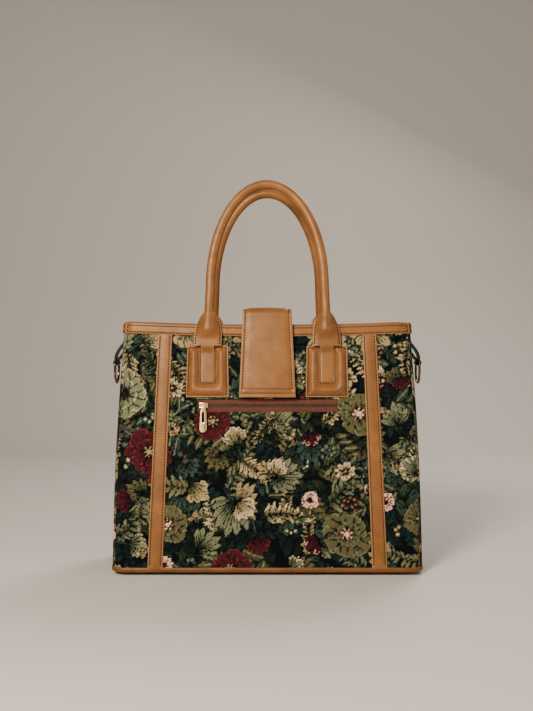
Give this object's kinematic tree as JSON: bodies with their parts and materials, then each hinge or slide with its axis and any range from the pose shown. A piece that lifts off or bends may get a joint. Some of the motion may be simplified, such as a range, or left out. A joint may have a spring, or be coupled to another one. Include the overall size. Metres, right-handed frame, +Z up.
{
  "type": "carpet bag",
  "caption": "Structured tapestry carpet bag with leather trim, rolled carrying handles, a snapped closing tab, a zipped front pocket and side rings for a shoulder strap.",
  "frame": {"origin": "on the ground under the middle of the base", "axes": "+Z up; the front with the zipped pocket faces -Y; +X to the right seen from the front"},
  "size_m": [0.3842, 0.143, 0.474],
  "materials": {
    "tapestry": "woven floral tapestry",
    "lining": "plain twill",
    "board": "matt stiffening board",
    "tan_leather": "smooth, satin",
    "dark_leather": "smooth, satin",
    "zip_tape": "woven tape",
    "zip_teeth": "satin",
    "gold_metal": "polished",
    "bronze_metal": "antique, brushed"
  },
  "bodies": {
    "bag": {"front_panel": "tapestry", "back_panel": "tapestry", "left_gusset": "tapestry", "right_gusset": "tapestry", "lining": "lining", "pocket_bag": "lining", "base_board": "board", "base_panel": "tan_leather", "base_binding": "tan_leather", "front_rim_band": "tan_leather", "back_rim_band": "tan_leather", "left_rim_band": "tan_leather", "right_rim_band": "tan_leather", "front_left_strip": "tan_leather", "front_right_strip": "tan_leather", "back_left_strip": "tan_leather", "back_right_strip": "tan_leather", "front_left_patch": "tan_leather", "front_right_patch": "tan_leather", "back_left_patch": "tan_leather", "back_right_patch": "tan_leather", "front_left_strap": "tan_leather", "front_right_strap": "tan_leather", "back_left_strap": "tan_leather", "back_right_strap": "tan_leather", "tab_root": "tan_leather", "left_ring_loop": "dark_leather", "right_ring_loop": "dark_leather", "zip_tape_upper": "zip_tape", "zip_tape_lower": "zip_tape", "zip_chain": "zip_teeth", "snap_socket": "gold_metal", "base_feet": "gold_metal"},
    "front_handle": {"front_handle": "tan_leather"},
    "back_handle": {"back_handle": "tan_leather"},
    "closing_tab": {"closing_tab": "tan_leather", "snap_stud": "gold_metal"},
    "zip_slider": {"zip_slider": "gold_metal"},
    "zip_pull": {"zip_pull": "gold_metal"},
    "left_d_ring": {"left_d_ring": "bronze_metal"},
    "right_d_ring": {"right_d_ring": "bronze_metal"}
  },
  "joints": [
    {"name": "front_handle_fold", "type": "hinge", "parent": "bag", "child": "front_handle", "pos_m": [0, -0.05635, 0.2739], "axis": [1, 0, 0], "range_deg": [-2, 130]},
    {"name": "back_handle_fold", "type": "hinge", "parent": "bag", "child": "back_handle", "pos_m": [0, 0.05635, 0.2739], "axis": [-1, 0, 0], "range_deg": [-2, 130]},
    {"name": "tab_lift", "type": "hinge", "parent": "bag", "child": "closing_tab", "pos_m": [0, 0.05225, 0.2939], "axis": [-1, 0, 0], "range_deg": [0, 110]},
    {"name": "pocket_zip_slide", "type": "slide", "parent": "bag", "child": "zip_slider", "axis": [1, 0, 0], "range_m": [0, 0.148]},
    {"name": "zip_pull_swing", "type": "hinge", "parent": "zip_slider", "child": "zip_pull", "pos_m": [-0.076, -0.06327, 0.2005], "axis": [-1, 0, 0], "range_deg": [0, 100]},
    {"name": "left_ring_swing", "type": "hinge", "parent": "bag", "child": "left_d_ring", "pos_m": [-0.1886, 0, 0.251], "axis": [0, 1, 0], "range_deg": [-12, 150]},
    {"name": "right_ring_swing", "type": "hinge", "parent": "bag", "child": "right_d_ring", "pos_m": [0.1886, 0, 0.251], "axis": [0, -1, 0], "range_deg": [-12, 150]}
  ]
}
